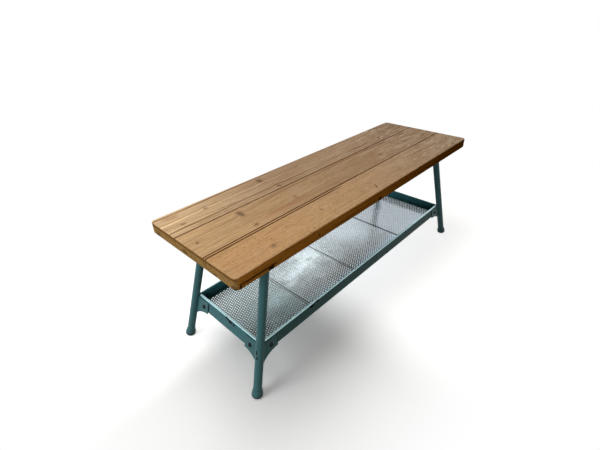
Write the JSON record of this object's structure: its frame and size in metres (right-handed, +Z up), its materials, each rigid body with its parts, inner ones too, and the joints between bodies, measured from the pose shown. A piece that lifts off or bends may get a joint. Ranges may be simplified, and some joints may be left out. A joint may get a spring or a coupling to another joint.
{
  "type": "dining bench",
  "caption": "Low dining bench: a plank seat on splayed tube legs, with a tray of loose perforated plates below.",
  "frame": {"origin": "on the floor, under the middle of the bench", "axes": "+X along the bench to its right end, +Y to its back, +Z up"},
  "size_m": [1.2, 0.382, 0.453],
  "materials": {
    "wood": "oiled aged softwood, satin",
    "frame_paint": "aged blue-green paint, satin, chipped at the edges",
    "screw_steel": "plain steel",
    "plate_steel": "galvanised perforated steel, glossy"
  },
  "bodies": {
    "bench": {"seat_plank_back": "wood", "seat_plank_middle": "wood", "seat_plank_front": "wood", "cross_bearer_left": "frame_paint", "cross_bearer_right": "frame_paint", "leg_front_left": "frame_paint", "leg_front_right": "frame_paint", "leg_back_left": "frame_paint", "leg_back_right": "frame_paint", "foot_front_left": "frame_paint", "foot_front_right": "frame_paint", "foot_back_left": "frame_paint", "foot_back_right": "frame_paint", "rail_front": "frame_paint", "rail_back": "frame_paint", "rail_left": "frame_paint", "rail_right": "frame_paint", "corner_bracket_front_left": "frame_paint", "corner_bracket_front_right": "frame_paint", "corner_bracket_back_left": "frame_paint", "corner_bracket_back_right": "frame_paint", "bracket_rivets": "frame_paint", "seat_screws": "screw_steel"},
    "plate_left": {"shelf_plate_left": "plate_steel"},
    "plate_mid_left": {"shelf_plate_mid_left": "plate_steel"},
    "plate_mid_right": {"shelf_plate_mid_right": "plate_steel"},
    "plate_right": {"shelf_plate_right": "plate_steel"}
  },
  "joints": [
    {"name": "plate_left_lift", "type": "slide", "parent": "bench", "child": "plate_left", "axis": [0, 0, 1], "range_m": [0, 0.045]},
    {"name": "plate_mid_left_lift", "type": "slide", "parent": "bench", "child": "plate_mid_left", "axis": [0, 0, 1], "range_m": [0, 0.045]},
    {"name": "plate_mid_right_lift", "type": "slide", "parent": "bench", "child": "plate_mid_right", "axis": [0, 0, 1], "range_m": [0, 0.045]},
    {"name": "plate_right_lift", "type": "slide", "parent": "bench", "child": "plate_right", "axis": [0, 0, 1], "range_m": [0, 0.045]}
  ]
}
